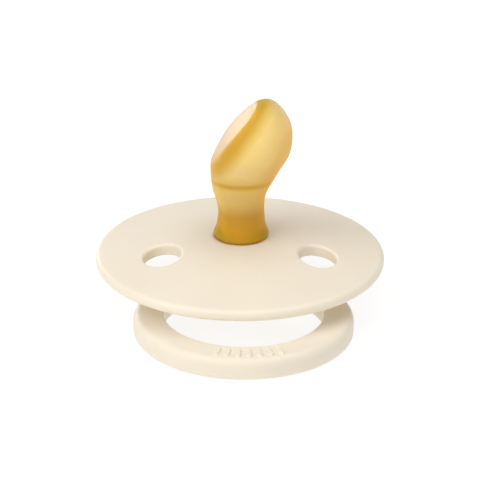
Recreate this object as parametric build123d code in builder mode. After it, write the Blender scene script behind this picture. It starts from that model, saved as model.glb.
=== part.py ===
"""Pacifier: a domed round shield, a hollow latex nipple held by a plug, and a rear knob that
carries a swinging ring handle.

The pacifier lies on its knob, nipple up. The origin is the centre of the knob's flat bottom,
+Z is the shield's axis towards the nipple's tip, the ring reaches towards -Y, and the nipple
leans towards +X. Millimetres.
"""
import os
from math import cos, degrees, pi, radians, sin, tan

from build123d import *

# Shield
SHIELD_RADIUS = 21.5
SHIELD_THICKNESS = 1.8
RIM_MIDDLE_HEIGHT = 7.0
RIM_ROUNDING = 0.8
FLANK_ANGLE = 10.5
FLANK_START = 12.0
VENT_CENTRE = (11.45, -5.05)
VENT_HALF_WIDTH = 2.8
VENT_HALF_LENGTH = 3.25
VENT_TOP_ROUNDING = 0.45
VENT_BACK_ROUNDING = 0.25

# Collar behind the shield, and the pocket inside it
COLLAR_RADIUS = 7.2
COLLAR_BOTTOM = 4.4
COLLAR_FILLET = 1.0
POCKET_RADIUS = 5.6
POCKET_TOP = 8.6
NIPPLE_HOLE_RADIUS = 3.75
SNAP_DEPTH = 0.25
SNAP_HEIGHT = 5.3
SNAP_HALF_WIDTH = 0.3

# Nipple
FLANGE_RADIUS = 5.5
FLANGE_THICKNESS = 1.2
NECK_RADIUS = 3.44
NECK_TOP = 16.0
NIPPLE_WALL = 0.9
NIPPLE_SHIFT = 0.15
NECK_OUTLINE = (-NECK_RADIUS, NECK_RADIUS, NECK_RADIUS, 2.0)
FOOT_OUTLINE = (-4.00, 4.00, 4.00, 2.0)
# Outlines above the foot, up to the tip: height, x of the flat side, x of the round side, half
# depth in y, and how square the flat side is (2 is an ellipse).
NIPPLE_LEVELS = [
    (11.10, -4.10, 4.10, 4.10, 2.0),
    (12.40, -3.68, 3.68, 3.68, 2.0),
    (13.80, *NECK_OUTLINE),
    (NECK_TOP, *NECK_OUTLINE),
    (18.00, -4.10, 3.88, 3.50, 2.0),
    (20.50, -4.45, 5.15, 4.80, 2.1),
    (23.20, -4.05, 6.68, 6.32, 2.8),
    (26.00, -2.50, 7.42, 6.34, 4.4),
    (28.00, -0.95, 7.26, 5.74, 4.4),
    (30.00, 0.85, 6.32, 4.40, 4.0),
    (31.20, 1.90, 5.22, 2.90, 3.0),
    (31.76, 2.80, 4.40, 1.30, 2.0),
]

# Plug that clamps the nipple's flange
PLUG_RADIUS = 5.5
PLUG_THICKNESS = 1.5
SPIGOT_CLEARANCE = 0.05
SPIGOT_HEIGHT = 5.0
VALVE_RADIUS = 0.6

# Knob
KNOB_EDGE = 1.1
KNOB_GROOVE_RADII = (3.9, 4.5)
KNOB_GROOVE_DEPTH = 0.2
KNOB_TURN = 3.0

# Ring handle
RING_OUTER_RADIUS = 16.1
RING_INNER_RADIUS = 11.7
RING_HEIGHT = 3.5
RING_TOP_FALL = 0.25
RING_REACH = 11.5
RING_OUTER_TOP_EDGE = 1.1
RING_OUTER_BOTTOM_EDGE = 0.9
RING_INNER_TOP_EDGE = 0.35
RING_INNER_BOTTOM_EDGE = 0.8
PIVOT_HEIGHT = RING_HEIGHT / 2
RING_END_GAP = 0.15
PIN_RADIUS = 1.0
PIN_CLEARANCE = 0.05
PIN_LENGTH = 2.5
PIN_END_GAP = 0.2
KNUCKLE_LENGTH = 4.0
RIB_COUNT = 7
RIB_LENGTH = 2.2
RIB_WIDTH = 0.8
RIB_HEIGHT = 0.25
RIB_SPACING = 1.5
RIB_TAPER = 12.0

# Worked out from the dimensions above
crown_radius = FLANK_START / sin(radians(FLANK_ANGLE))
crown_drop = crown_radius * (1 - cos(radians(FLANK_ANGLE)))
flank_drop = (SHIELD_RADIUS - FLANK_START) * tan(radians(FLANK_ANGLE))
rim_top = RIM_MIDDLE_HEIGHT + SHIELD_THICKNESS / 2
crown_top = rim_top + flank_drop + crown_drop
flange_bottom = POCKET_TOP - FLANGE_THICKNESS
plug_bottom = flange_bottom - PLUG_THICKNESS
cavity_radius = NECK_RADIUS - NIPPLE_WALL
ring_end = COLLAR_RADIUS + RING_END_GAP
pin_end = ring_end - PIN_LENGTH
rib_radius = (RING_INNER_RADIUS + RING_OUTER_RADIUS) / 2
rib_spread = degrees((RIB_COUNT - 1) * RIB_SPACING / rib_radius)
nipple_rows = [(crown_top, *FOOT_OUTLINE), *NIPPLE_LEVELS]
cavity_top = NIPPLE_LEVELS[-1][0] - NIPPLE_WALL

os.makedirs("parts", exist_ok=True)

# The knob and its ring are turned a little about the shield's axis.
turned = Plane.XY.rotated((0, 0, KNOB_TURN))
across = turned.x_dir
ring_centre = turned.from_local_coords(Vector(0, -RING_REACH, 0))


def pivot_plane(side, distance):
    """A plane square to the ring's pivot, facing out, on one side of the knob."""
    origin = across * (side * distance) + Vector(0, 0, PIVOT_HEIGHT)
    return Plane(origin=origin, x_dir=(0, 0, 1), z_dir=across * side)


def circles(part, radius):
    """The part's circular edges of one radius, lowest first."""
    rounds = part.edges().filter_by(GeomType.CIRCLE)
    return rounds.filter_by(lambda edge: abs(edge.radius - radius) < 0.01).sort_by(Axis.Z)


def bulb_section(height, flat_x, round_x, half_depth, squareness, wall=0.0):
    """A closed level outline of the bulb, drawn in by the wall thickness for the cavity."""
    centre = (flat_x + round_x) / 2 + NIPPLE_SHIFT
    half_width = (round_x - flat_x) / 2 - wall
    half_depth = half_depth - wall
    points = []
    for step in range(16):
        angle = 2 * pi * step / 16
        power = 2 / squareness if cos(angle) < 0 else 1.0
        reach = abs(cos(angle)) ** power
        x = centre + half_width * (reach if cos(angle) > 0 else -reach)
        points.append((x, half_depth * sin(angle)))
    with BuildSketch(Plane.XY.offset(height)) as section:
        with BuildLine():
            Spline(*points, periodic=True)
        make_face()
    return section.sketch


# Shield: a thin crowned disc with a straight flank, two vents and a collar behind
with BuildPart() as shield:
    with BuildSketch(Plane.XZ):
        with BuildLine():
            top_centre = crown_top - crown_radius
            top = CenterArc((0, top_centre), crown_radius, 90, -FLANK_ANGLE)
            Line(top @ 1, (SHIELD_RADIUS, rim_top))
            Line((SHIELD_RADIUS, rim_top), (SHIELD_RADIUS, rim_top - SHIELD_THICKNESS))
            back_centre = top_centre - SHIELD_THICKNESS
            back = CenterArc((0, back_centre), crown_radius, 90, -FLANK_ANGLE)
            Line((SHIELD_RADIUS, rim_top - SHIELD_THICKNESS), back @ 1)
            Line(back @ 0, top @ 0)
        make_face()
    revolve(axis=Axis.Z)
    fillet(circles(shield, SHIELD_RADIUS), radius=RIM_ROUNDING)

    with BuildSketch(Plane.XY.offset(COLLAR_BOTTOM)):
        Circle(COLLAR_RADIUS)
    extrude(amount=POCKET_TOP + SHIELD_THICKNESS / 4 - COLLAR_BOTTOM)
    fillet(circles(shield, COLLAR_RADIUS)[-1], radius=COLLAR_FILLET)

    with BuildSketch(Plane.XY.offset(COLLAR_BOTTOM)):
        Circle(POCKET_RADIUS)
    extrude(amount=POCKET_TOP - COLLAR_BOTTOM, mode=Mode.SUBTRACT)
    with BuildSketch(Plane.XY.offset(COLLAR_BOTTOM)):
        Circle(NIPPLE_HOLE_RADIUS)
    extrude(amount=crown_top, mode=Mode.SUBTRACT)
    with BuildSketch(Plane.XY.offset(SNAP_HEIGHT - SNAP_HALF_WIDTH)):
        Circle(POCKET_RADIUS + SNAP_DEPTH)
    extrude(amount=2 * SNAP_HALF_WIDTH, mode=Mode.SUBTRACT)

    with BuildSketch(Plane.XY):
        with Locations(VENT_CENTRE, (-VENT_CENTRE[0], VENT_CENTRE[1])):
            Ellipse(VENT_HALF_WIDTH, VENT_HALF_LENGTH)
    extrude(amount=2 * crown_top, mode=Mode.SUBTRACT)
    vent_edges = shield.edges().filter_by(
        lambda edge: abs(abs(edge.center().X) - VENT_CENTRE[0]) < VENT_HALF_WIDTH
        and edge.bounding_box().size.Z < SHIELD_THICKNESS * 0.9
    )
    top_lips, back_lips = vent_edges.group_by(Axis.Z)[-1], vent_edges.group_by(Axis.Z)[0]
    fillet(top_lips, radius=VENT_TOP_ROUNDING)
    fillet(back_lips, radius=VENT_BACK_ROUNDING)
shield.part.label = "shield"
export_step(shield.part, "parts/shield.step")

# Nipple: flange, neck and leaning bulb, hollow from the flange to the tip
with BuildPart() as nipple:
    loft([bulb_section(*row) for row in nipple_rows])
    with BuildSketch(Plane.XY.offset(flange_bottom)):
        with Locations((NIPPLE_SHIFT, 0)):
            Circle(NECK_RADIUS)
    extrude(amount=crown_top - flange_bottom)
    with BuildSketch(Plane.XY.offset(flange_bottom)):
        Circle(FLANGE_RADIUS)
    extrude(amount=FLANGE_THICKNESS)

    cavity_rows = [(flange_bottom, *NECK_OUTLINE)]
    cavity_rows += [row for row in NIPPLE_LEVELS if NECK_TOP <= row[0] <= cavity_top]
    loft(
        [bulb_section(*row, wall=NIPPLE_WALL) for row in cavity_rows],
        ruled=True,
        mode=Mode.SUBTRACT,
    )
nipple.part.label = "nipple"
export_step(nipple.part, "parts/nipple.step")

# Plug: a disc behind the flange with a spigot up inside the neck and an air passage
with BuildPart() as nipple_plug:
    with BuildSketch(Plane.XY.offset(plug_bottom)):
        Circle(PLUG_RADIUS)
    extrude(amount=PLUG_THICKNESS)
    fillet(circles(nipple_plug, PLUG_RADIUS)[0], radius=0.3)
    with BuildSketch(Plane.XY.offset(flange_bottom)):
        with Locations((NIPPLE_SHIFT, 0)):
            Circle(cavity_radius - SPIGOT_CLEARANCE)
    extrude(amount=SPIGOT_HEIGHT)
    fillet(circles(nipple_plug, cavity_radius - SPIGOT_CLEARANCE)[-1], radius=0.5)
    with BuildSketch(Plane.XY.offset(plug_bottom)):
        with Locations((NIPPLE_SHIFT, 0)):
            Circle(VALVE_RADIUS)
    extrude(amount=PLUG_THICKNESS + SPIGOT_HEIGHT, mode=Mode.SUBTRACT)
nipple_plug.part.label = "nipple_plug"
export_step(nipple_plug.part, "parts/nipple_plug.step")

# Knob: snaps into the collar, closes the back and holds the ring's pins
with BuildPart() as knob:
    with BuildSketch():
        Circle(COLLAR_RADIUS)
    extrude(amount=COLLAR_BOTTOM)
    fillet(circles(knob, COLLAR_RADIUS)[0], radius=KNOB_EDGE)
    with BuildSketch(Plane.XY.offset(COLLAR_BOTTOM)):
        Circle(PLUG_RADIUS)
    extrude(amount=plug_bottom - COLLAR_BOTTOM)
    with BuildSketch(Plane.XY.offset(SNAP_HEIGHT - SNAP_HALF_WIDTH + 0.05)):
        Circle(PLUG_RADIUS + SNAP_DEPTH)
    extrude(amount=2 * SNAP_HALF_WIDTH - 0.1)
    with BuildSketch():
        Circle(KNOB_GROOVE_RADII[1])
        Circle(KNOB_GROOVE_RADII[0], mode=Mode.SUBTRACT)
    extrude(amount=KNOB_GROOVE_DEPTH, mode=Mode.SUBTRACT)
    for side in (-1, 1):
        with BuildSketch(pivot_plane(side, pin_end - PIN_END_GAP)):
            Circle(PIN_RADIUS + PIN_CLEARANCE)
        extrude(amount=PIN_LENGTH + RING_END_GAP + PIN_END_GAP, mode=Mode.SUBTRACT)
knob.part.label = "knob"
export_step(knob.part, "parts/knob.step")

# Ring handle: an open ring whose ends close on the knob with a pin on each side
with BuildPart() as ring:
    section_plane = Plane(origin=ring_centre, x_dir=across, z_dir=-turned.y_dir)
    with BuildSketch(section_plane):
        with BuildLine():
            Polyline(
                (RING_INNER_RADIUS, 0),
                (RING_OUTER_RADIUS, 0),
                (RING_OUTER_RADIUS, RING_HEIGHT - RING_TOP_FALL),
                (RING_INNER_RADIUS, RING_HEIGHT),
                close=True,
            )
        make_face()
    revolve(axis=Axis(ring_centre, (0, 0, 1)))
    outer_edges = circles(ring, RING_OUTER_RADIUS)
    inner_edges = circles(ring, RING_INNER_RADIUS)
    fillet(outer_edges[0], radius=RING_OUTER_BOTTOM_EDGE)
    fillet(outer_edges[-1], radius=RING_OUTER_TOP_EDGE)
    fillet(inner_edges[0], radius=RING_INNER_BOTTOM_EDGE)
    fillet(inner_edges[-1], radius=RING_INNER_TOP_EDGE)

    # Open the ring round the knob, and end it at the pivot
    with BuildSketch(turned.offset(-1)):
        with Locations((0, 6)):
            Rectangle(2 * ring_end, 24)
        with Locations((0, 15)):
            Rectangle(60, 30)
    extrude(amount=RING_HEIGHT + 2, mode=Mode.SUBTRACT)

    # Round knuckles about the pivot, kept inside the ring's outline
    for side in (-1, 1):
        with BuildSketch(pivot_plane(side, ring_end)):
            Circle(PIVOT_HEIGHT)
        extrude(amount=KNUCKLE_LENGTH)
    with BuildSketch(Plane.XY.offset(-1)):
        with Locations((ring_centre.X, ring_centre.Y)):
            Circle(RING_OUTER_RADIUS)
    extrude(amount=RING_HEIGHT + 2, mode=Mode.INTERSECT)

    for side in (-1, 1):
        with BuildSketch(pivot_plane(side, pin_end)):
            Circle(PIN_RADIUS)
        extrude(amount=PIN_LENGTH + 0.5)

    # A row of small radial grip ribs on the front of the top face
    with BuildSketch(turned.offset(RING_HEIGHT - RING_TOP_FALL)):
        with Locations((0, -RING_REACH)):
            with PolarLocations(
                rib_radius, RIB_COUNT, -90 - rib_spread / 2, rib_spread, endpoint=True
            ):
                SlotOverall(RIB_LENGTH, RIB_WIDTH)
    extrude(amount=RIB_HEIGHT + RING_TOP_FALL / 2, taper=RIB_TAPER)
ring.part.label = "ring"
export_step(ring.part, "parts/ring.step")
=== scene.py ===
"""Looks for the pacifier: moulded ivory shield, ring and knob, and an amber latex nipple.

Lengths are in millimetres up to the mesh builder, which turns them into metres.
"""
from math import acos, atan2, cos, hypot, pi, radians, sin, sqrt, tan

import bmesh
import bpy
import numpy as np
from mathutils import Matrix, Vector


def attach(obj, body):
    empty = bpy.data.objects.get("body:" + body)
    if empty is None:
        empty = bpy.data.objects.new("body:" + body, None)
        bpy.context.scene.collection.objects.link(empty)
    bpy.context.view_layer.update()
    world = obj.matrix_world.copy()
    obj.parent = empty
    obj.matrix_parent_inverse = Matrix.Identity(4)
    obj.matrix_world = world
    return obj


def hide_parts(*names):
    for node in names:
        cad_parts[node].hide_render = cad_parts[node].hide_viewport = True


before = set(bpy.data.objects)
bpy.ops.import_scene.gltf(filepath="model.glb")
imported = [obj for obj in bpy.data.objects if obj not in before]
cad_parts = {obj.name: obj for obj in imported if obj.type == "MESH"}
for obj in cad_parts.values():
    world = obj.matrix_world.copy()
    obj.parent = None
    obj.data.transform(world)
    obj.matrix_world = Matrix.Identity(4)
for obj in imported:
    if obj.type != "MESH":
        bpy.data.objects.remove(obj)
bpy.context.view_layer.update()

MM = 0.001

# Shield
SHIELD_RADIUS = 21.5
SHIELD_THICKNESS = 1.8
RIM_MIDDLE_HEIGHT = 7.0
RIM_ROUNDING = 0.8
RIM_TOP_START = 20.3
RIM_BACK_START = 20.2
FLANK_DEGREES = 10.5
FLANK_ANGLE = radians(FLANK_DEGREES)
FLANK_START = 12.0
VENT_CENTRE = (11.45, -5.05)
VENT_HALF_WIDTH = 2.8
VENT_HALF_LENGTH = 3.25
VENT_TOP_ROUNDING = 0.45
VENT_BACK_ROUNDING = 0.25
COLLAR_RADIUS = 7.2
COLLAR_BOTTOM = 4.4
COLLAR_FILLET = 1.0
COLLAR_EDGE = 0.15
POCKET_RADIUS = 5.6
POCKET_TOP = 8.6
NIPPLE_HOLE_RADIUS = 3.75

# The shield's mesh: spokes of the polar grid, and the block of it that each vent takes up
SPOKES = 192
BLOCK_HALF = 11
BLOCK_INNER = 8.4
BLOCK_OUTER = 16.9
BLOCK_RINGS = 21
GRID_END = 19.9
VENT_BLEND_SHARES = (0.16, 0.34, 0.52, 0.69, 0.84, 0.94)
VENT_WALL_SHARES = (0.33, 0.67)

# Radii and heights of loops between the collar's corners
COLLAR_FACE_RADII = (6.6, 6.1, POCKET_RADIUS)
POCKET_WALL_HEIGHTS = (4.5, 6.0, 8.5, POCKET_TOP)
POCKET_TOP_RADII = (5.5, 4.6, NIPPLE_HOLE_RADIUS + 0.05, NIPPLE_HOLE_RADIUS)
HOLE_WALL_HEIGHTS = (8.7, 9.8)

# Nipple
FLANGE_RADIUS = 5.5
FLANGE_THICKNESS = 1.2
FLANGE_EDGE = 0.15
FLANGE_LOOP_RADII = (3.5, 4.2)
FLANGE_LOOP_SHIFT = 0.08
NECK_RADIUS = 3.44
NECK_LOOP_HEIGHTS = (8.9, 9.8, 10.5)
NIPPLE_WALL = 0.9
NIPPLE_SHIFT = 0.15
NIPPLE_AROUND = 176
NIPPLE_ROWS = 150
RIDGE_SHARPNESS = 1.25
FLAT_BOW = 0.05
STRAIGHT_BORE_TOP = 13.5
BULB_HOLLOW_HEIGHTS = (14, 30.8)
LEAST_HOLLOW_DEPTH = 0.8

# Ring and its pivot
KNOB_TURN = radians(3.0)
RING_OUTER_RADIUS = 16.1
RING_INNER_RADIUS = 11.7
RING_HEIGHT = 3.5
RING_TOP_FALL = 0.25
RING_CORNER_RADII = [0.8, 0.9, 1.1, 0.35]
RING_OUTLINE_STEP = 0.08
RING_CORNER_STEPS = 9
RING_REACH = 11.5
RING_ARC_END = radians(127.7)
RIBBED_ARC_END = radians(26)
KNUCKLE_PULL = 1.9
PIVOT_HEIGHT = RING_HEIGHT / 2
RING_END_GAP = 0.15
PIN_RADIUS = 1.0
PIN_LENGTH = 2.5
RIB_COUNT = 7
RIB_HALF_WIDTH = 0.38
RIB_HALF_LENGTH = 1.1
RIB_HEIGHT = 0.25
RIB_SPACING = 1.5
RIB_FOOT = 0.1
RIB_SLOPE = 0.22

FLOOR_GAP = 0.02
FLOOR_HALF_SIZE = 2.5

# The photograph's viewpoint
CAMERA_ELEVATION = radians(23.61)
CAMERA_DISTANCE = 400.0
CAMERA_TARGET_HEIGHT = RIM_MIDDLE_HEIGHT + 2.77
CAMERA_ROLL = radians(0.36)
CAMERA_LENS = 201.4

flank_drop = (SHIELD_RADIUS - FLANK_START) * tan(FLANK_ANGLE)
crown_radius = FLANK_START / sin(FLANK_ANGLE)
crown_drop = crown_radius * (1 - cos(FLANK_ANGLE))
rim_top = RIM_MIDDLE_HEIGHT + SHIELD_THICKNESS / 2
crown_top = rim_top + flank_drop + crown_drop
flange_bottom = POCKET_TOP - FLANGE_THICKNESS


# ---------------------------------------------------------------- mesh helpers
def spread(low, high, count):
    """count evenly spaced numbers from low to high."""
    return [low + (high - low) * i / (count - 1) for i in range(count)]


def arc(centre, radius, start, end, count):
    """Points of an arc, angles in degrees."""
    return [
        (centre[0] + radius * cos(radians(a)), centre[1] + radius * sin(radians(a)))
        for a in spread(start, end, count)
    ]


def smoothstep(value):
    value = min(1.0, max(0.0, value))
    return value * value * (3 - 2 * value)


def circle_spots(radius, count):
    """Points of a circle about the origin, as (x, y)."""
    steps = range(count)
    return [(radius * cos(2 * pi * j / count), radius * sin(2 * pi * j / count)) for j in steps]


def loop(bm, points):
    """A loop of new vertices from points in millimetres."""
    return [bm.verts.new(Vector(p) * MM) for p in points]


def bridge(bm, first, second):
    """Quads between two closed loops of the same length."""
    count = len(first)
    for i in range(count):
        k = (i + 1) % count
        bm.faces.new((first[i], first[k], second[k], second[i]))


def cap(bm, ring):
    """Closes a loop with a fan of triangles."""
    middle = bm.verts.new(sum((v.co for v in ring), Vector()) / len(ring))
    for i in range(len(ring)):
        bm.faces.new((ring[i], ring[(i + 1) % len(ring)], middle))


def finish_mesh(bm, name, body, material, stands_for):
    """Turns the bmesh into a smooth piece that rides on a body and replaces CAD nodes."""
    bmesh.ops.recalc_face_normals(bm, faces=bm.faces)
    mesh = bpy.data.meshes.new(name)
    bm.to_mesh(mesh)
    bm.free()
    for polygon in mesh.polygons:
        polygon.use_smooth = True
    piece = bpy.data.objects.new(name, mesh)
    bpy.context.scene.collection.objects.link(piece)
    mesh.materials.append(material)
    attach(piece, body)
    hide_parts(*stands_for)
    return piece


def rounded_outline(corners, radii, spacing, arc_steps):
    """A closed outline with rounded corners and straight runs cut into short pieces."""
    count = len(corners)
    stops = []
    for i in range(count):
        here = Vector(corners[i])
        before = (Vector(corners[i - 1]) - here).normalized()
        after = (Vector(corners[(i + 1) % count]) - here).normalized()
        half = acos(max(-1.0, min(1.0, before.dot(after)))) / 2
        run = radii[i] / tan(half)
        centre = here + (before + after).normalized() * (radii[i] / sin(half))
        start, end = here + before * run, here + after * run
        a0 = atan2(start.y - centre.y, start.x - centre.x)
        a1 = atan2(end.y - centre.y, end.x - centre.x)
        sweep = (a1 - a0 + pi) % (2 * pi) - pi
        steps = [a0 + sweep * k / arc_steps for k in range(arc_steps + 1)]
        stops.append([centre + Vector((cos(a), sin(a))) * radii[i] for a in steps])
    points = []
    for i in range(count):
        points += stops[i]
        start, end = stops[i][-1], stops[(i + 1) % count][0]
        pieces = max(1, round((end - start).length / spacing))
        points += [start.lerp(end, k / pieces) for k in range(1, pieces)]
    return points


# ---------------------------------------------------------------- materials
class Nodes:
    """Short names for adding and linking a material's nodes."""

    def __init__(self, name):
        self.material = bpy.data.materials.new(name)
        self.material.use_nodes = True
        self.tree = self.material.node_tree
        self.shader = self.tree.nodes["Principled BSDF"]
        coordinates = self.add("ShaderNodeTexCoord")
        self.place = coordinates.outputs["Object"]
        self.normal = coordinates.outputs["Normal"]

    def add(self, kind, **values):
        node = self.tree.nodes.new(kind)
        for key, value in values.items():
            setattr(node, key, value)
        return node

    def link(self, source, target):
        self.tree.links.new(source, target)

    def noise(self, scale, detail=3.0, roughness=0.5, distortion=0.0):
        node = self.add("ShaderNodeTexNoise")
        node.inputs["Scale"].default_value = scale
        node.inputs["Detail"].default_value = detail
        node.inputs["Roughness"].default_value = roughness
        node.inputs["Distortion"].default_value = distortion
        self.link(self.place, node.inputs["Vector"])
        return node.outputs["Fac"]

    def ramp(self, source, stops):
        node = self.add("ShaderNodeValToRGB")
        elements = node.color_ramp.elements
        for element, (position, colour) in zip(elements, (stops[0], stops[-1])):
            element.position = position
            element.color = (*colour, 1.0)
        for position, colour in stops[1:-1]:
            elements.new(position).color = (*colour, 1.0)
        self.link(source, node.inputs["Fac"])
        return node.outputs["Color"]

    def map_range(self, source, low, high, to_low, to_high):
        node = self.add("ShaderNodeMapRange")
        limits = {"From Min": low, "From Max": high, "To Min": to_low, "To Max": to_high}
        for key, value in limits.items():
            node.inputs[key].default_value = value
        self.link(source, node.inputs["Value"])
        return node.outputs["Result"]

    def facing(self, direction, start, full, strength):
        """How far the surface is turned to a direction of the object, from 0 to strength."""
        node = self.add("ShaderNodeVectorMath", operation="DOT_PRODUCT")
        self.link(self.normal, node.inputs[0])
        node.inputs[1].default_value = direction
        return self.map_range(node.outputs["Value"], start, full, 0.0, strength)

    def mix(self, factor, first, second, blend="MIX"):
        node = self.add("ShaderNodeMix", data_type="RGBA", blend_type=blend)
        for key, value in ((0, factor), (6, first), (7, second)):
            if isinstance(value, bpy.types.NodeSocket):
                self.link(value, node.inputs[key])
            elif key == 0:
                node.inputs[key].default_value = value
            else:
                node.inputs[key].default_value = (*value, 1.0)
        return node.outputs[2]

    def bump(self, height, strength, distance, normal=None):
        node = self.add("ShaderNodeBump")
        node.inputs["Strength"].default_value = strength
        node.inputs["Distance"].default_value = distance
        self.link(height, node.inputs["Height"])
        if normal is not None:
            self.link(normal, node.inputs["Normal"])
        return node.outputs["Normal"]


def ivory_plastic(name):
    """Matt moulded polypropylene: a fine spark-eroded grain, faint flow mottling."""
    n = Nodes(name)
    flow = n.noise(55, detail=4, distortion=0.6)
    colour = n.ramp(flow, [(0.30, (0.790, 0.714, 0.584)), (0.70, (0.815, 0.740, 0.612))])
    n.link(colour, n.shader.inputs["Base Color"])
    grain = n.noise(5200, detail=2, roughness=0.6)
    patches = n.noise(340, detail=3)
    n.link(n.map_range(patches, 0.3, 0.7, 0.42, 0.52), n.shader.inputs["Roughness"])
    soft = n.bump(patches, 0.05, 0.0002)
    n.link(n.bump(grain, 0.10, 0.00003, soft), n.shader.inputs["Normal"])
    n.shader.inputs["IOR"].default_value = 1.49
    n.shader.inputs["Subsurface Weight"].default_value = 0.3
    n.shader.inputs["Subsurface Radius"].default_value = (1.0, 0.8, 0.55)
    n.shader.inputs["Subsurface Scale"].default_value = 0.0016
    return n.material


# How deep or pale the latex's colour is, from deep (0) to pale (1): by height, and by the distance in
# from the bulb's flat side. Part of it is painted light: a painted highlight high on the neck and, in
# part, across the bulb's middle, and painted shade at the crease under the bulb and in a band beside
# the flat's ridge; the colour also gets deeper towards the foot.
LATEX_HEIGHT_SHADE_AND_HIGHLIGHT = [
    (10.7, 0.0),
    (13.0, 0.15),
    (15.0, 0.42),
    (16.8, 0.74),
    (18.8, 0.76),
    (19.6, 0.36),
    (20.6, 0.70),
    (22.5, 1.0),
]
LATEX_FOLD_SHADE_AND_HIGHLIGHT = [(0.0, 0.35), (0.7, 0.33), (1.3, 0.48), (2.7, 1.0), (5.0, 0.95), (8.0, 0.80)]
LATEX_BOTTOM = 10
LATEX_TOP = 32
FOLD_REACH = 10
LATEX_COLOURS = [
    (0.08, (0.86, 0.52, 0.03)),
    (0.38, (0.70, 0.50, 0.09)),
    (0.65, (0.84, 0.69, 0.24)),
    (0.92, (0.97, 0.82, 0.42)),
]
# The flat side faces up-left and gets a painted pale reflection; the bulb's heavy side faces down-right
# and gets painted shade.
FLAT_FACES = (-0.812, 0.0, 0.5835)
INTO_BULB = (0.812, 0.0, -0.5835)
FLAT_REFLECTION_COLOUR = (0.82, 0.81, 0.65)
UNDERSIDE_FACES = (0.86, 0.0, -0.51)
UNDERSIDE_SHADE_COLOUR = (0.80, 0.48, 0.04)


def height_share(height):
    """Place of a height between the latex's bottom and top, as a share."""
    return (height - LATEX_BOTTOM) / (LATEX_TOP - LATEX_BOTTOM)


def amber_latex(name):
    """Natural rubber latex: a translucent honey shell, deeper towards the foot, with painted highlights
    and shade in its colour and a painted pale reflection on the flat.
    """
    n = Nodes(name)
    axes = n.add("ShaderNodeSeparateXYZ")
    n.link(n.place, axes.inputs[0])
    height = n.map_range(axes.outputs["Z"], LATEX_BOTTOM * MM, LATEX_TOP * MM, 0.0, 1.0)
    # Painted highlight high on the neck, painted shade at the crease under the bulb, deeper towards the
    # foot
    neck_shade_and_highlight = n.ramp(height, [(height_share(z), (f, f, f)) for z, f in LATEX_HEIGHT_SHADE_AND_HIGHLIGHT])
    fold = n.add("ShaderNodeVectorMath", operation="DOT_PRODUCT")
    n.link(n.place, fold.inputs[0])
    fold.inputs[1].default_value = INTO_BULB
    fold_depth = n.map_range(fold.outputs["Value"], -0.0167, -0.0067, 0.0, 1.0)
    # Painted shade in a band beside the flat's ridge, and partly a painted highlight across the bulb's
    # middle
    fold_shade_and_highlight = n.ramp(fold_depth, [(d / FOLD_REACH, (f, f, f)) for d, f in LATEX_FOLD_SHADE_AND_HIGHLIGHT])
    tone_and_painted_light = n.mix(1.0, neck_shade_and_highlight, fold_shade_and_highlight, "DARKEN")
    clouds = n.noise(190, detail=3, distortion=0.8)
    tone_and_painted_light = n.mix(0.12, tone_and_painted_light, clouds)
    colour = n.ramp(tone_and_painted_light, LATEX_COLOURS)
    # Painted reflection: a pale sheen on the flat side where it faces up and to the left
    turned = n.facing(FLAT_FACES, 0.87, 0.99, 0.70)
    # Painted shade: deep amber where the bulb's flank faces down and to the right
    under = n.facing(UNDERSIDE_FACES, 0.50, 0.95, 0.65)
    colour = n.mix(under, colour, UNDERSIDE_SHADE_COLOUR)
    above = n.map_range(axes.outputs["Z"], 0.0210, 0.0235, 0.0, 1.0)
    flat = n.add("ShaderNodeMath", operation="MULTIPLY")
    n.link(turned, flat.inputs[0])
    n.link(above, flat.inputs[1])
    colour = n.mix(flat.outputs[0], colour, FLAT_REFLECTION_COLOUR)
    n.link(colour, n.shader.inputs["Base Color"])
    fine = n.noise(2600, detail=2)
    n.link(n.map_range(clouds, 0.3, 0.7, 0.29, 0.36), n.shader.inputs["Roughness"])
    soft = n.bump(clouds, 0.10, 0.0003)
    n.link(n.bump(fine, 0.06, 0.00003, soft), n.shader.inputs["Normal"])
    n.shader.inputs["IOR"].default_value = 1.16
    side = n.add("ShaderNodeNewGeometry").outputs["Backfacing"]
    n.link(n.map_range(side, 0.0, 1.0, 0.50, 1.0), n.shader.inputs["Transmission Weight"])
    n.shader.inputs["Subsurface Weight"].default_value = 0.8
    n.shader.inputs["Subsurface Radius"].default_value = (1.0, 0.55, 0.15)
    n.shader.inputs["Subsurface Scale"].default_value = 0.0020
    inside = n.add("ShaderNodeVolumeAbsorption")
    inside.inputs["Color"].default_value = (0.995, 0.87, 0.50, 1.0)
    inside.inputs["Density"].default_value = 1000.0
    output = n.tree.nodes["Material Output"]
    n.link(inside.outputs["Volume"], output.inputs["Volume"])
    return n.material


# ---------------------------------------------------------------- shield
def shield_top(radius):
    """Height of the shield's front face: a crowned middle and a straight flank."""
    if radius <= FLANK_START:
        return crown_top - crown_radius + sqrt(crown_radius**2 - radius**2)
    return crown_top - crown_drop - (radius - FLANK_START) * tan(FLANK_ANGLE)


def shield_back(radius):
    return shield_top(radius) - SHIELD_THICKNESS


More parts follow.
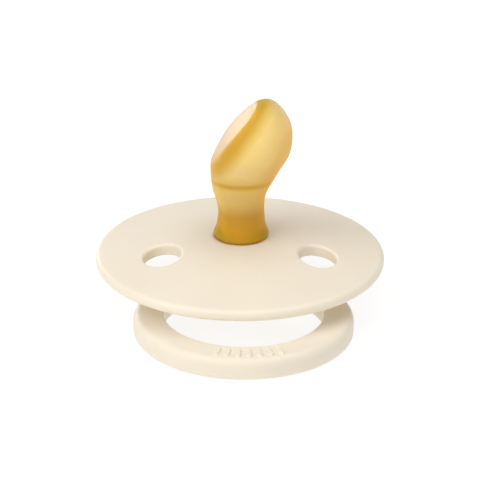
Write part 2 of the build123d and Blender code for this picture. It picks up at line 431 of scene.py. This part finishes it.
def shield_grid(bm, radii, height, lips):
    """One face of the shield as a polar grid with a ring of loops round each vent.

    lips holds, from the face into the vent, (distance outside the vent's wall, depth).
    Returns the grid's rings and each vent's innermost loop.
    """
    rings = []
    for radius in radii:
        spots = circle_spots(radius, SPOKES)
        rings.append(loop(bm, [(x, y, height(radius)) for x, y in spots]))
    first = radii.index(BLOCK_INNER)
    last = first + BLOCK_RINGS - 1
    spoke = 2 * pi / SPOKES
    middles = [round(atan2(VENT_CENTRE[1], side * VENT_CENTRE[0]) / spoke) for side in (1, -1)]
    inside = {(i, (m + k) % SPOKES) for m in middles for k in range(-BLOCK_HALF, BLOCK_HALF)
              for i in range(first, last)}
    for i in range(len(rings) - 1):
        for j in range(SPOKES):
            if (i, j) not in inside:
                k = (j + 1) % SPOKES
                bm.faces.new((rings[i][j], rings[i][k], rings[i + 1][k], rings[i + 1][j]))
    ends = []
    for side, middle in zip((1, -1), middles):
        low, high = middle - BLOCK_HALF, middle + BLOCK_HALF
        border = [rings[first][j % SPOKES] for j in range(low, high)]
        border += [rings[i][high % SPOKES] for i in range(first, last)]
        border += [rings[last][j % SPOKES] for j in range(high, low, -1)]
        border += [rings[i][low % SPOKES] for i in range(last, first, -1)]
        ends.append(vent_loops(bm, border, side, height, lips))
        used = set(border)
        for i in range(first, last + 1):
            for j in range(low, high + 1):
                if rings[i][j % SPOKES] not in used:
                    bm.verts.remove(rings[i][j % SPOKES])
    return rings, ends


def vent_loops(bm, border, side, height, lips):
    """Loops from a block's border in to the vent's lip; returns the last."""
    cx, cy = side * VENT_CENTRE[0], VENT_CENTRE[1]
    outer = [(v.co.x / MM, v.co.y / MM) for v in border]
    angles = [atan2(y - cy, x - cx) for x, y in outer]

    def wall(angle):
        across = VENT_HALF_LENGTH * cos(angle)
        along = VENT_HALF_WIDTH * sin(angle)
        return VENT_HALF_WIDTH * VENT_HALF_LENGTH / hypot(across, along)

    def ring_at(distance, depth):
        points = []
        for angle in angles:
            reach = wall(angle) + distance
            x, y = cx + reach * cos(angle), cy + reach * sin(angle)
            points.append((x, y, height(hypot(x, y)) - depth))
        return points

    previous = border
    start = ring_at(*lips[0])
    for share in VENT_BLEND_SHARES:
        points = []
        for (x0, y0), (x1, y1, _) in zip(outer, start):
            x, y = x0 + (x1 - x0) * share, y0 + (y1 - y0) * share
            points.append((x, y, height(hypot(x, y))))
        current = loop(bm, points)
        bridge(bm, previous, current)
        previous = current
    for distance, depth in lips:
        current = loop(bm, ring_at(distance, depth))
        bridge(bm, previous, current)
        previous = current
    return previous


def revolve_loops(bm, first, profile, last):
    """Loops about Z through a profile of (radius, height), joined to two existing loops."""
    previous = first
    for radius, height in profile:
        current = loop(bm, [(x, y, height) for x, y in circle_spots(radius, SPOKES)])
        bridge(bm, previous, current)
        previous = current
    bridge(bm, previous, last)


def lip_steps(rounding, sign):
    """A quarter round from the face into the vent, as (distance, depth) pairs."""
    return [(rounding * (1 - sin(radians(a))), sign * rounding * (1 - cos(radians(a))))
            for a in spread(0, 90, 8)]


def make_shield(material):
    bm = bmesh.new()
    block = spread(BLOCK_INNER, BLOCK_OUTER, BLOCK_RINGS)
    outer = spread(BLOCK_OUTER, GRID_END, 7)[1:]
    top_radii = spread(NIPPLE_HOLE_RADIUS, BLOCK_INNER, 9)[:-1] + block + outer
    back_radii = block + outer
    top_rings, top_vents = shield_grid(bm, top_radii, shield_top, lip_steps(VENT_TOP_ROUNDING, 1))
    back_rings, back_vents = shield_grid(bm, back_radii, shield_back, lip_steps(VENT_BACK_ROUNDING, -1))
    for top, back in zip(top_vents, back_vents):
        previous = top
        for share in VENT_WALL_SHARES:
            current = loop(bm, [a.co.lerp(b.co, share) / MM for a, b in zip(top, back)])
            bridge(bm, previous, current)
            previous = current
        bridge(bm, previous, back)

    centre = SHIELD_RADIUS - RIM_ROUNDING
    reach = RIM_ROUNDING * sin(FLANK_ANGLE)
    rise = RIM_ROUNDING * cos(FLANK_ANGLE)
    top_centre = shield_top(centre + reach) - rise
    back_centre = shield_back(centre - reach) + rise
    rim = [(RIM_TOP_START, shield_top(RIM_TOP_START))]
    rim += arc((centre, top_centre), RIM_ROUNDING, 90 - FLANK_DEGREES, 0, 12)
    rim += arc((centre, back_centre), RIM_ROUNDING, 0, -90 - FLANK_DEGREES, 12)
    rim += [(RIM_BACK_START, shield_back(RIM_BACK_START))]
    revolve_loops(bm, top_rings[-1], rim, back_rings[-1])

    fillet_start = COLLAR_RADIUS + COLLAR_FILLET
    fillet_centre = (fillet_start, shield_back(fillet_start) - COLLAR_FILLET)
    edge_centre = (COLLAR_RADIUS - COLLAR_EDGE, COLLAR_BOTTOM + COLLAR_EDGE)
    collar = arc(fillet_centre, COLLAR_FILLET, 90, 180, 8)
    collar += [(COLLAR_RADIUS, h) for h in spread(fillet_centre[1], edge_centre[1], 6)[1:]]
    collar += arc(edge_centre, COLLAR_EDGE, 0, -90, 4)[1:]
    collar += [(r, COLLAR_BOTTOM) for r in COLLAR_FACE_RADII]
    collar += [(POCKET_RADIUS, h) for h in POCKET_WALL_HEIGHTS]
    collar += [(r, POCKET_TOP) for r in POCKET_TOP_RADII]
    collar += [(NIPPLE_HOLE_RADIUS, h) for h in HOLE_WALL_HEIGHTS]
    collar += [(NIPPLE_HOLE_RADIUS, shield_top(NIPPLE_HOLE_RADIUS) - 0.1)]
    revolve_loops(bm, back_rings[0], collar, top_rings[0])
    return finish_mesh(bm, "shield_moulding", "soother", material, ["shield"])


# ---------------------------------------------------------------- nipple
# From the foot to the tip: height, x of the flat side, x of the round side, half depth in y,
# and the share of that depth that is flat.
NIPPLE_LEVELS = [
    (10.66, -3.88, 3.90, 3.88, 0.0),
    (10.95, -4.06, 4.10, 4.08, 0.0),
    (12.40, -3.66, 3.68, 3.68, 0.0),
    (13.80, -3.45, 3.46, 3.44, 0.0),
    (15.20, -3.46, 3.40, 3.40, 0.0),
    (16.20, -3.68, 3.44, 3.42, 0.0),
    (17.00, -3.93, 3.56, 3.43, 0.0),
    (18.00, -4.22, 3.88, 3.46, 0.0),
    (19.20, -4.43, 4.56, 3.52, 0.0),
    (19.75, -4.49, 4.86, 3.92, 0.0),
    (20.30, -4.54, 5.12, 4.58, 0.0),
    (21.20, -4.57, 5.58, 5.34, 0.03),
    (22.20, -4.53, 6.14, 6.00, 0.08),
    (23.20, -4.16, 6.74, 6.34, 0.20),
    (24.40, -3.46, 7.22, 6.46, 0.35),
    (26.00, -2.48, 7.44, 6.34, 0.49),
    (28.00, -0.89, 7.28, 5.74, 0.60),
    (30.00, 0.92, 6.30, 4.40, 0.62),
    (31.20, 1.92, 5.20, 2.80, 0.42),
    (31.60, 2.66, 4.50, 1.60, 0.32),
    (31.72, 3.60, 3.60, 0.00, 0.25),
]


def spline_rows(rows, count):
    """Smooth rows through the given ones, evenly spaced along the outline."""
    rows = np.array(rows, float)
    steps = np.sqrt((np.diff(rows[:, :4], axis=0) ** 2).sum(axis=1))
    knots = np.concatenate([[0.0], np.cumsum(steps)])
    slopes = np.zeros_like(rows)
    for i in range(1, len(rows) - 1):
        before = (rows[i] - rows[i - 1]) / (knots[i] - knots[i - 1])
        after = (rows[i + 1] - rows[i]) / (knots[i + 1] - knots[i])
        w = (knots[i] - knots[i - 1]) / (knots[i + 1] - knots[i - 1])
        slopes[i] = before * (1 - w) + after * w
    slopes[0] = (rows[1] - rows[0]) / (knots[1] - knots[0])
    slopes[-1] = (rows[-1] - rows[-2]) / (knots[-1] - knots[-2])
    slopes[-1][0] = 0.0
    made = []
    for t in np.linspace(0, knots[-1], count):
        i = min(len(rows) - 2, int(np.searchsorted(knots, t, side="right") - 1))
        width = knots[i + 1] - knots[i]
        u = (t - knots[i]) / width
        h00, h10 = (1 + 2 * u) * (1 - u) ** 2, u * (1 - u) ** 2
        h01, h11 = u * u * (3 - 2 * u), u * u * (u - 1)
        near = h00 * rows[i] + h10 * width * slopes[i]
        made.append(near + h01 * rows[i + 1] + h11 * width * slopes[i + 1])
    return made


def outline_points(row, wall, count):
    """One level of the nipple: an oval whose left is nearly flat between two soft ridges."""
    height, flat_x, round_x, half_depth, flat_share = row
    flat_share = max(flat_share, 0.0)  # the smooth rows dip a little under 0 below the flat
    bow = FLAT_BOW * flat_share
    centre = (flat_x + round_x) / 2 + NIPPLE_SHIFT
    half_width = max((round_x - flat_x) / 2 - wall, 0.01)
    half_depth = max(half_depth - wall, 0.01)
    power = 2 - RIDGE_SHARPNESS * flat_share
    points = []
    for step in range(count):
        angle = 2 * pi * step / count
        reach = cos(angle)
        if reach < 0:
            along = abs(sin(angle))
            if along < flat_share:
                reach = bow * (along / flat_share) ** 2 - 1
            else:
                past_ridge = (along - flat_share) / (1 - flat_share)
                reach = (bow - 1) * sqrt(max(0.0, 1 - past_ridge**power))
        points.append((centre + half_width * reach, half_depth * sin(angle), height))
    return points


def make_nipple(material):
    bm = bmesh.new()
    rows = spline_rows(NIPPLE_LEVELS, NIPPLE_ROWS)
    bore_radius = NECK_RADIUS - NIPPLE_WALL

    def circle(radius, height, shift=NIPPLE_SHIFT):
        return [(shift + x, y, height) for x, y in circle_spots(radius, NIPPLE_AROUND)]

    foot = [
        circle(bore_radius, flange_bottom),
        circle(FLANGE_LOOP_RADII[0], flange_bottom, FLANGE_LOOP_SHIFT),
        circle(FLANGE_RADIUS - FLANGE_EDGE, flange_bottom, 0),
        circle(FLANGE_RADIUS, flange_bottom + FLANGE_EDGE, 0),
        circle(FLANGE_RADIUS, POCKET_TOP - FLANGE_EDGE, 0),
        circle(FLANGE_RADIUS - 0.1, POCKET_TOP, 0),
        circle(FLANGE_LOOP_RADII[1], POCKET_TOP, FLANGE_LOOP_SHIFT),
        circle(NECK_RADIUS + 0.1, POCKET_TOP + 0.02),
    ]
    foot += [circle(NECK_RADIUS, height) for height in NECK_LOOP_HEIGHTS]
    outside = foot + [outline_points(row, 0.0, NIPPLE_AROUND) for row in rows[:-1]]
    previous = loop(bm, outside[0])
    bottom = previous
    for points in outside[1:]:
        current = loop(bm, points)
        bridge(bm, previous, current)
        previous = current
    cap(bm, previous)
    low, high = BULB_HOLLOW_HEIGHTS
    hollow_rows = [row for row in rows
                   if low < row[0] < high and row[3] > NIPPLE_WALL + LEAST_HOLLOW_DEPTH]
    inside = [circle(bore_radius, h) for h in spread(flange_bottom + 0.5, STRAIGHT_BORE_TOP, 8)]
    inside += [outline_points(row, NIPPLE_WALL, NIPPLE_AROUND) for row in hollow_rows]
    previous = bottom
    for points in inside:
        current = loop(bm, points)
        bridge(bm, previous, current)
        previous = current
    cap(bm, previous)
    return finish_mesh(bm, "latex_nipple", "soother", material, ["nipple"])


# ---------------------------------------------------------------- ring
def ring_path():
    """Points and directions along the ring's centreline, from the left pivot to the right."""
    middle = (RING_INNER_RADIUS + RING_OUTER_RADIUS) / 2
    angles = spread(0, RIBBED_ARC_END, 105)[:-1] + spread(RIBBED_ARC_END, RING_ARC_END, 72)
    half = []
    for a in angles:
        place = Vector((middle * sin(a), -RING_REACH - middle * cos(a)))
        half.append((place, Vector((cos(a), sin(a))), 0.0))
    start, direction, _ = half[-1]
    end = Vector((COLLAR_RADIUS + RING_END_GAP, 0.0))
    h0, h1, h2, h3 = start, start + direction * KNUCKLE_PULL, end + Vector((KNUCKLE_PULL, 0)), end
    for t in spread(0, 1, 25)[1:]:
        s = 1 - t
        p = h0 * s**3 + h1 * 3 * s * s * t + h2 * 3 * s * t * t + h3 * t**3
        d = (h1 - h0) * s * s + (h2 - h1) * 2 * s * t + (h3 - h2) * t * t
        half.append((p, d.normalized(), smoothstep(t / 0.9)))
    mirrored = [(Vector((-p.x, p.y)), Vector((d.x, -d.y)), knuckle) for p, d, knuckle in half[:0:-1]]
    return mirrored + half


def rib_rise(x, y):
    """Height of the radial grip ribs above the ring's top face at a point."""
    middle = (RING_INNER_RADIUS + RING_OUTER_RADIUS) / 2
    radius = hypot(x, y + RING_REACH)
    place = atan2(x, -y - RING_REACH) * middle / RIB_SPACING
    nearest = round(place)
    if abs(nearest) > (RIB_COUNT - 1) / 2:
        return 0.0
    along = max(0.0, abs(radius - middle) - (RIB_HALF_LENGTH - RIB_HALF_WIDTH))
    distance = hypot((place - nearest) * RIB_SPACING, along)
    return RIB_HEIGHT * smoothstep((RIB_HALF_WIDTH + RIB_FOOT - distance) / RIB_SLOPE)


def make_ring(material):
    half_width = (RING_OUTER_RADIUS - RING_INNER_RADIUS) / 2
    corners = [
        (-half_width, 0),
        (half_width, 0),
        (half_width, RING_HEIGHT - RING_TOP_FALL),
        (-half_width, RING_HEIGHT),
    ]
    outline = rounded_outline(corners, RING_CORNER_RADII, RING_OUTLINE_STEP, RING_CORNER_STEPS)
    turn = Matrix.Rotation(KNOB_TURN, 4, "Z")

    def section(place, direction, knuckle):
        side = Vector((direction.y, -direction.x))
        points = []
        for u, v in outline:
            angle = atan2(v - PIVOT_HEIGHT, u)
            round_u = PIVOT_HEIGHT * cos(angle)
            round_v = PIVOT_HEIGHT + PIVOT_HEIGHT * sin(angle)
            across = u + (round_u - u) * knuckle
            height = v + (round_v - v) * knuckle
            spot = place + side * across
            if knuckle == 0 and v > RING_HEIGHT - 0.5 and spot.y < -RING_REACH:
                height += rib_rise(spot.x, spot.y)
            points.append(turn @ Vector((spot.x, spot.y, height)))
        return points

    def disc(side, x, radius):
        points = []
        for u, v in outline:
            angle = atan2(v - PIVOT_HEIGHT, u)
            spot = (side * x, radius * cos(angle), PIVOT_HEIGHT + radius * sin(angle))
            points.append(turn @ Vector(spot))
        return points

    bm = bmesh.new()
    rings = [loop(bm, section(*stop)) for stop in ring_path()]
    for first, second in zip(rings, rings[1:]):
        bridge(bm, first, second)
    end = COLLAR_RADIUS + RING_END_GAP
    tip = end - PIN_LENGTH
    stops = [
        (end - 0.02, PIVOT_HEIGHT - 0.06),
        (end - 0.04, PIVOT_HEIGHT - 0.2),
        (end - 0.04, PIN_RADIUS + 0.1),
        (end - 0.1, PIN_RADIUS),
        (end - 1.2, PIN_RADIUS),
        (tip + 0.15, PIN_RADIUS),
        (tip, PIN_RADIUS - 0.15),
    ]
    for side, previous in ((-1, rings[0]), (1, rings[-1])):
        for x, radius in stops:
            current = loop(bm, disc(side, x, radius))
            bridge(bm, previous, current)
            previous = current
        cap(bm, previous)
    return finish_mesh(bm, "ring_moulding", "ring_handle", material, ["ring"])


# ---------------------------------------------------------------- studio
def make_floor():
    """A white sweep just under the object, clear from below so that the underside can be seen."""
    bm = bmesh.new()
    bmesh.ops.create_grid(bm, x_segments=8, y_segments=8, size=FLOOR_HALF_SIZE)
    mesh = bpy.data.meshes.new("floor")
    bm.to_mesh(mesh)
    bm.free()
    floor = bpy.data.objects.new("floor", mesh)
    floor.location.z = -FLOOR_GAP * MM
    bpy.context.scene.collection.objects.link(floor)
    n = Nodes("white_sweep")
    n.link(n.ramp(n.noise(30, detail=2), [(0.3, (0.23, 0.23, 0.23)), (0.7, (0.25, 0.25, 0.25))]),
           n.shader.inputs["Base Color"])
    n.shader.inputs["Roughness"].default_value = 0.9
    n.shader.inputs["Emission Color"].default_value = (1.0, 1.0, 1.0, 1.0)
    n.shader.inputs["Emission Strength"].default_value = 0.78
    clear = n.add("ShaderNodeBsdfTransparent")
    either = n.add("ShaderNodeMixShader")
    n.link(n.add("ShaderNodeNewGeometry").outputs["Backfacing"], either.inputs[0])
    n.link(n.shader.outputs["BSDF"], either.inputs[1])
    n.link(clear.outputs["BSDF"], either.inputs[2])
    n.link(either.outputs["Shader"], n.tree.nodes["Material Output"].inputs["Surface"])
    mesh.materials.append(n.material)


def area_light(name, place, target, size, power, colour=(1.0, 1.0, 1.0)):
    data = bpy.data.lights.new(name, "AREA")
    data.shape = "DISK"
    data.size = size
    data.energy = power
    data.color = colour
    light = bpy.data.objects.new(name, data)
    light.location = place
    light.rotation_euler = (Vector(target) - Vector(place)).to_track_quat("-Z", "Y").to_euler()
    bpy.context.scene.collection.objects.link(light)


def make_lights():
    target = (0.0, 0.0, 0.012)
    area_light("key", (-0.65, -0.5, 0.75), target, 1.0, 6.2, (1.0, 0.99, 0.97))
    area_light("top", (0.2, 0.0, 1.1), target, 1.2, 6.2)
    area_light("front", (0.06, -0.85, 0.14), target, 0.25, 0.9)
    area_light("back", (-0.45, 0.85, 0.12), target, 0.35, 1.5)
    world = bpy.data.worlds.new("studio")
    world.use_nodes = True
    background = world.node_tree.nodes["Background"]
    background.inputs["Color"].default_value = (1.0, 1.0, 1.0, 1.0)
    background.inputs["Strength"].default_value = 0.39
    bpy.context.scene.world = world


def make_camera():
    data = bpy.data.cameras.new("camera")
    data.sensor_width = 36.0
    data.lens = CAMERA_LENS
    data.clip_start = 0.01
    data.clip_end = 20.0
    camera = bpy.data.objects.new("camera", data)
    ahead = Vector((0.0, cos(CAMERA_ELEVATION), -sin(CAMERA_ELEVATION)))
    camera.location = (Vector((0, 0, CAMERA_TARGET_HEIGHT)) - ahead * CAMERA_DISTANCE) * MM
    level = ahead.to_track_quat("-Z", "Y").to_matrix()
    camera.rotation_euler = (level @ Matrix.Rotation(CAMERA_ROLL, 3, "Z")).to_euler()
    bpy.context.scene.collection.objects.link(camera)
    bpy.context.scene.camera = camera


make_camera()
make_lights()
make_floor()
ivory = ivory_plastic("ivory_plastic")
make_shield(ivory)
make_nipple(amber_latex("amber_latex"))
make_ring(ivory)
for node in ("knob", "nipple_plug"):
    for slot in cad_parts[node].material_slots:
        slot.material = ivory
bpy.context.scene.view_settings.view_transform = "Standard"
